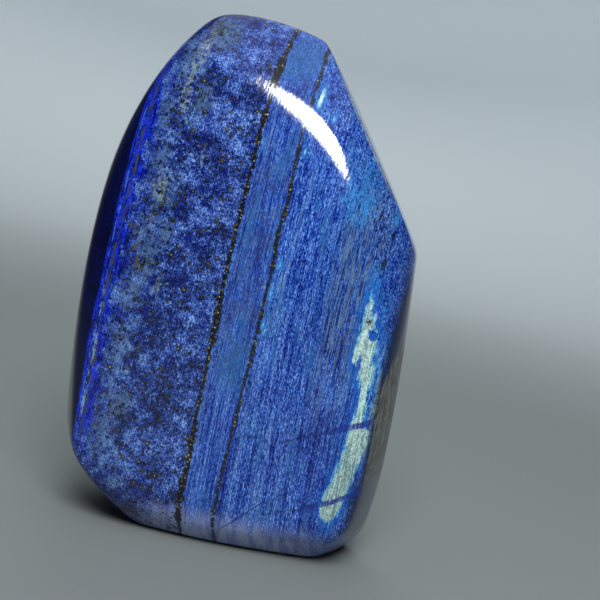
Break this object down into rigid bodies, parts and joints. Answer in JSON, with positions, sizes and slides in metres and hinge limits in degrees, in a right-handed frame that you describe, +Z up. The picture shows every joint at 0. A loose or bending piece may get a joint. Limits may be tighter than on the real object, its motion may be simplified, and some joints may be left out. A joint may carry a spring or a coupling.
{
  "type": "polished lapis lazuli freeform",
  "caption": "Standing freeform of polished lapis lazuli: one solid blue stone with a broad domed front, bevelled shoulders and a flat cut base.",
  "frame": {"origin": "centre of the bounding box in x and y, on the flat cut base", "axes": "+Z up along the stone's longest extent, -Y out of the broad front face, +Y along the shortest extent, +X to the right when facing the front"},
  "size_m": [0.0764, 0.0426, 0.117],
  "materials": {
    "lapis": "polished lapis lazuli: mottled ultramarine and denim blue with pyrite-filled dark veins, pale calcite and small cracks"
  },
  "bodies": {
    "root": {"stone": "lapis"}
  },
  "joints": []
}
